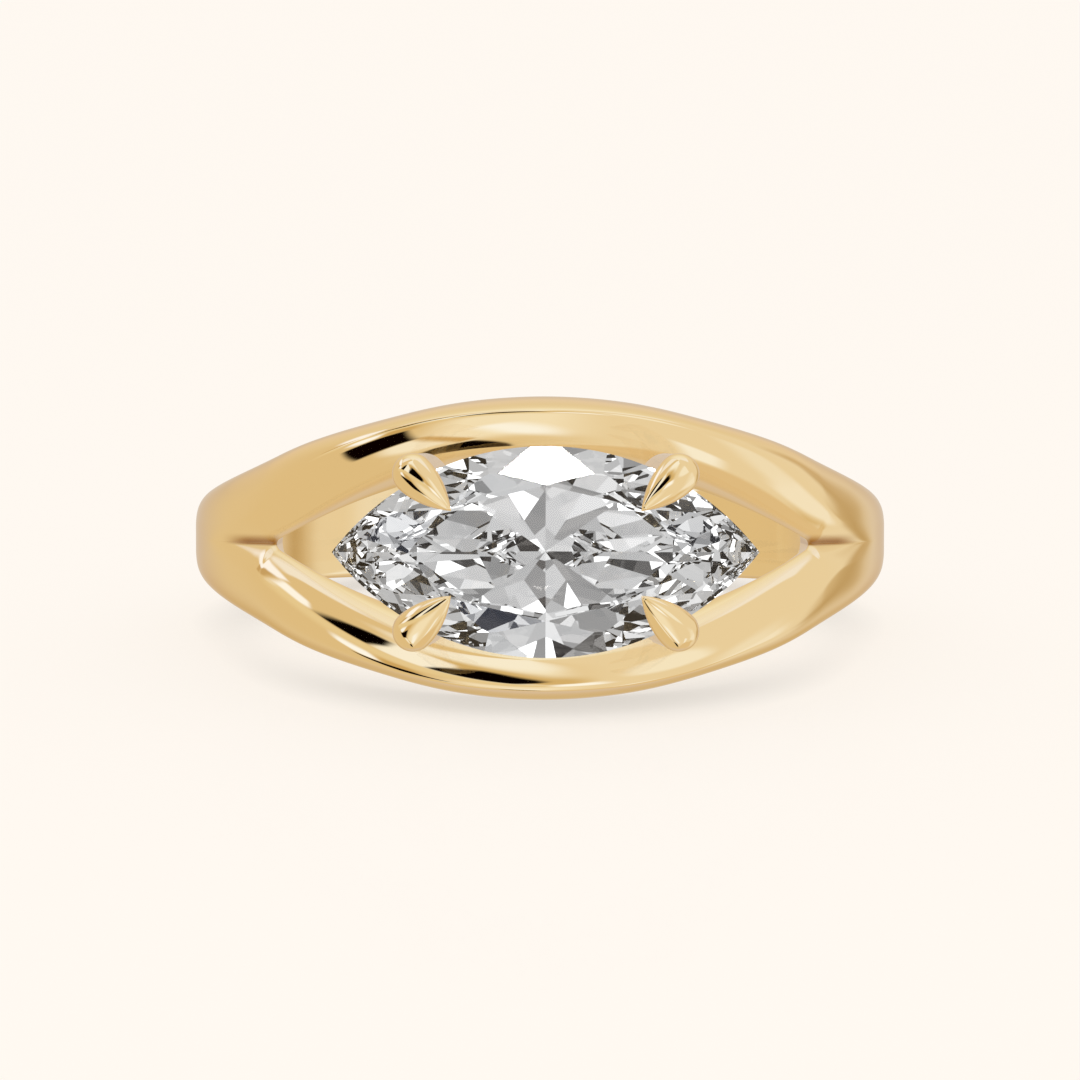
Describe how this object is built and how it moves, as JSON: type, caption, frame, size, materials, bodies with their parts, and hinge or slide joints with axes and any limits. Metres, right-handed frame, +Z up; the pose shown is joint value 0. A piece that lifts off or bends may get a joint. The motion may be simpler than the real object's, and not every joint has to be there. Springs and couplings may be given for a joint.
{
  "type": "split shank engagement ring",
  "caption": "Gold ring whose band parts into two strands that pass above and below a pointed oval stone held by pointed drop claws.",
  "frame": {"origin": "on the surface the ring lies on, under the middle of its box", "axes": "+X along the stone's length, -Y towards the side that the stone faces, +Z up from the surface the ring lies on, 8.4 degrees off the finger axis"},
  "size_m": [0.0204, 0.0228, 0.0082],
  "materials": {
    "gold": "high polish yellow gold",
    "diamond": "faceted and polished, colourless"
  },
  "bodies": {
    "root": {"split_shank": "gold", "marquise_stone": "diamond"}
  },
  "joints": []
}
